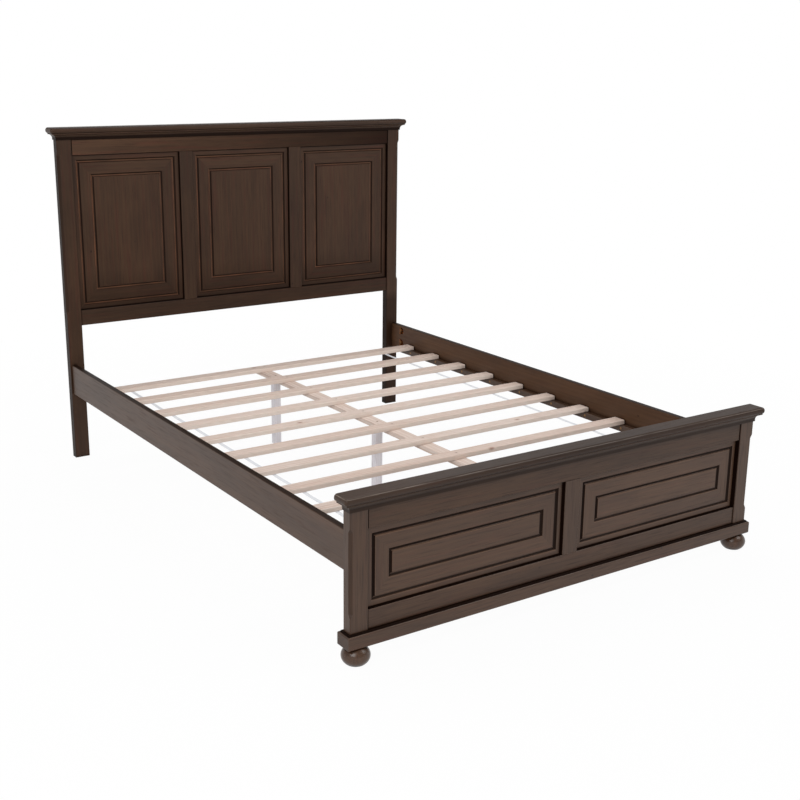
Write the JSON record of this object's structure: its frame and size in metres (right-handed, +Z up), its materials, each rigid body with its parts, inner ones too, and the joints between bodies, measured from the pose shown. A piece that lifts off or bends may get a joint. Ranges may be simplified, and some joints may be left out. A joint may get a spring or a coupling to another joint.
{
  "type": "wooden bed",
  "caption": "Dark stained double bed frame with a panelled headboard and footboard, bun feet, side rails and a lift-out pine slat base.",
  "frame": {"origin": "on the floor, under the middle of the bed's overall box", "axes": "+X across the bed, to the right seen from the foot; +Y from the footboard to the headboard; +Z up"},
  "size_m": [1.51, 2.019, 1.223],
  "materials": {
    "stained_wood": "dark walnut stain under satin lacquer, darker glaze in the crevices",
    "bare_pine": "planed, unfinished pine",
    "beech_dowel": "fluted beech dowel, unfinished",
    "webbing_tape": "woven polypropylene tape",
    "zinc_plated_steel": "yellow zinc plated steel",
    "brass_insert": "turned brass"
  },
  "bodies": {
    "frame": {"headboard_left_post": "stained_wood", "headboard_right_post": "stained_wood", "headboard_top_rail": "stained_wood", "headboard_bottom_rail": "stained_wood", "headboard_left_mullion": "stained_wood", "headboard_right_mullion": "stained_wood", "headboard_left_panel": "stained_wood", "headboard_middle_panel": "stained_wood", "headboard_right_panel": "stained_wood", "headboard_cap": "stained_wood", "headboard_cove_moulding": "stained_wood", "footboard_left_post": "stained_wood", "footboard_right_post": "stained_wood", "footboard_top_rail": "stained_wood", "footboard_bottom_rail": "stained_wood", "footboard_mullion": "stained_wood", "footboard_left_panel": "stained_wood", "footboard_right_panel": "stained_wood", "footboard_cap": "stained_wood", "footboard_cove_moulding": "stained_wood", "footboard_base": "stained_wood", "left_bun_foot": "stained_wood", "right_bun_foot": "stained_wood", "bun_foot_bolts": "zinc_plated_steel", "cap_dowels": "beech_dowel", "base_dowels": "beech_dowel", "left_side_rail": "stained_wood", "right_side_rail": "stained_wood", "bed_bolts": "zinc_plated_steel", "post_inserts": "brass_insert", "half_moon_washers": "zinc_plated_steel", "bed_bolt_nuts": "zinc_plated_steel", "rail_dowels": "beech_dowel", "left_ledge": "stained_wood", "right_ledge": "stained_wood", "ledge_screws": "zinc_plated_steel"},
    "slat_base": {"slat_1": "bare_pine", "slat_2": "bare_pine", "slat_3": "bare_pine", "slat_4": "bare_pine", "slat_5": "bare_pine", "slat_6": "bare_pine", "slat_7": "bare_pine", "slat_8": "bare_pine", "slat_9": "bare_pine", "slat_10": "bare_pine", "slat_screws": "zinc_plated_steel", "left_tape": "webbing_tape", "right_tape": "webbing_tape", "centre_beam": "bare_pine", "centre_leg_1": "bare_pine", "centre_leg_2": "bare_pine", "centre_leg_3": "bare_pine", "leg_screws": "zinc_plated_steel"}
  },
  "joints": [
    {"name": "slat_lift", "type": "slide", "parent": "frame", "child": "slat_base", "axis": [0, 0, 1], "range_m": [0, 0.2]}
  ]
}
